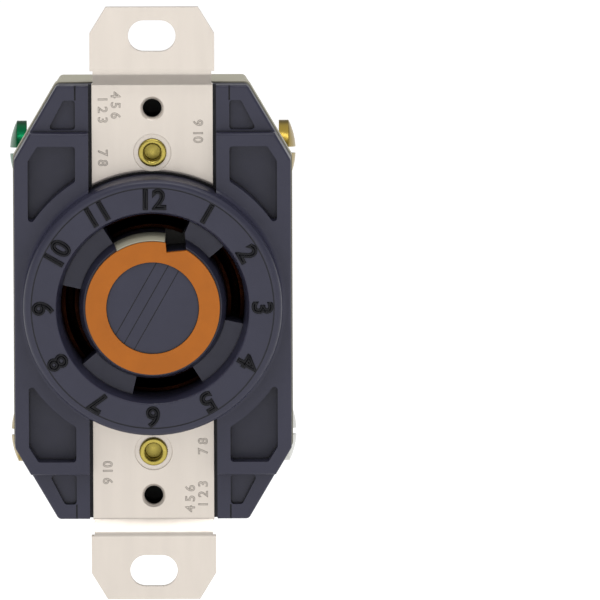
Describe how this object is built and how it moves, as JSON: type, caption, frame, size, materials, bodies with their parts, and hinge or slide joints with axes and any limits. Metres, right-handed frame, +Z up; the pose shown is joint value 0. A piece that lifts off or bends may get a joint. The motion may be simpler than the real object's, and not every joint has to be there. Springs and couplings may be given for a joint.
{
  "type": "locking receptacle",
  "caption": "Flush locking power receptacle with a raised round turret face, curved blade slots, steel strap ears and side terminal screws.",
  "frame": {"origin": "midway between the two box-screw slots, on the rear plane of the strap's ears, which is the wall plane", "axes": "+Z up along the strap, -Y out of the wall towards the user, +X to the right as seen from the front"},
  "size_m": [0.0442, 0.033, 0.0922],
  "materials": {
    "cover_nylon": "satin moulded",
    "ring_plastic": "satin moulded",
    "strap_nickel": "nickel plated",
    "rivet_brass": "formed",
    "body_plastic": "satin moulded",
    "contact_brass": "stamped",
    "screw_green": "dyed plating",
    "screw_brass": "turned",
    "screw_silver": "nickel plated",
    "shoe_steel": "zinc plated"
  },
  "bodies": {
    "housing": {"front_cover": "cover_nylon", "colour_ring": "ring_plastic", "upper_strap": "strap_nickel", "lower_strap": "strap_nickel", "upper_rivet": "rivet_brass", "lower_rivet": "rivet_brass", "back_body": "body_plastic", "ground_contact": "contact_brass", "right_contact": "contact_brass", "bottom_contact": "contact_brass", "left_contact": "contact_brass", "bonding_strip": "contact_brass"},
    "upper_left_clamp": {"upper_left_shoe": "shoe_steel"},
    "upper_right_clamp": {"upper_right_shoe": "shoe_steel"},
    "lower_left_clamp": {"lower_left_shoe": "shoe_steel"},
    "lower_right_clamp": {"lower_right_shoe": "shoe_steel"},
    "upper_left_terminal_screw": {"upper_left_screw": "screw_green"},
    "upper_right_terminal_screw": {"upper_right_screw": "screw_brass"},
    "lower_left_terminal_screw": {"lower_left_screw": "screw_brass"},
    "lower_right_terminal_screw": {"lower_right_screw": "screw_silver"}
  },
  "joints": [
    {"name": "upper_left_travel", "type": "slide", "parent": "housing", "child": "upper_left_clamp", "axis": [1, 0, 0], "range_m": [0, 0.00238]},
    {"name": "upper_left_turn", "type": "hinge", "parent": "upper_left_clamp", "child": "upper_left_terminal_screw", "pos_m": [-0.0195, 0.013, 0.022], "axis": [1, 0, 0], "range_deg": [0, 1080]},
    {"name": "upper_right_travel", "type": "slide", "parent": "housing", "child": "upper_right_clamp", "axis": [-1, 0, 0], "range_m": [0, 0.00238]},
    {"name": "upper_right_turn", "type": "hinge", "parent": "upper_right_clamp", "child": "upper_right_terminal_screw", "pos_m": [0.0195, 0.013, 0.022], "axis": [-1, 0, 0], "range_deg": [0, 1080]},
    {"name": "lower_left_travel", "type": "slide", "parent": "housing", "child": "lower_left_clamp", "axis": [1, 0, 0], "range_m": [0, 0.00238]},
    {"name": "lower_left_turn", "type": "hinge", "parent": "lower_left_clamp", "child": "lower_left_terminal_screw", "pos_m": [-0.0195, 0.013, -0.022], "axis": [1, 0, 0], "range_deg": [0, 1080]},
    {"name": "lower_right_travel", "type": "slide", "parent": "housing", "child": "lower_right_clamp", "axis": [-1, 0, 0], "range_m": [0, 0.00238]},
    {"name": "lower_right_turn", "type": "hinge", "parent": "lower_right_clamp", "child": "lower_right_terminal_screw", "pos_m": [0.0195, 0.013, -0.022], "axis": [-1, 0, 0], "range_deg": [0, 1080]}
  ],
  "couplings": [
    {"joint": "upper_left_turn", "follows": "upper_left_travel", "rad_per_m": 7915.8},
    {"joint": "upper_right_turn", "follows": "upper_right_travel", "rad_per_m": 7915.8},
    {"joint": "lower_left_turn", "follows": "lower_left_travel", "rad_per_m": 7915.8},
    {"joint": "lower_right_turn", "follows": "lower_right_travel", "rad_per_m": 7915.8}
  ]
}
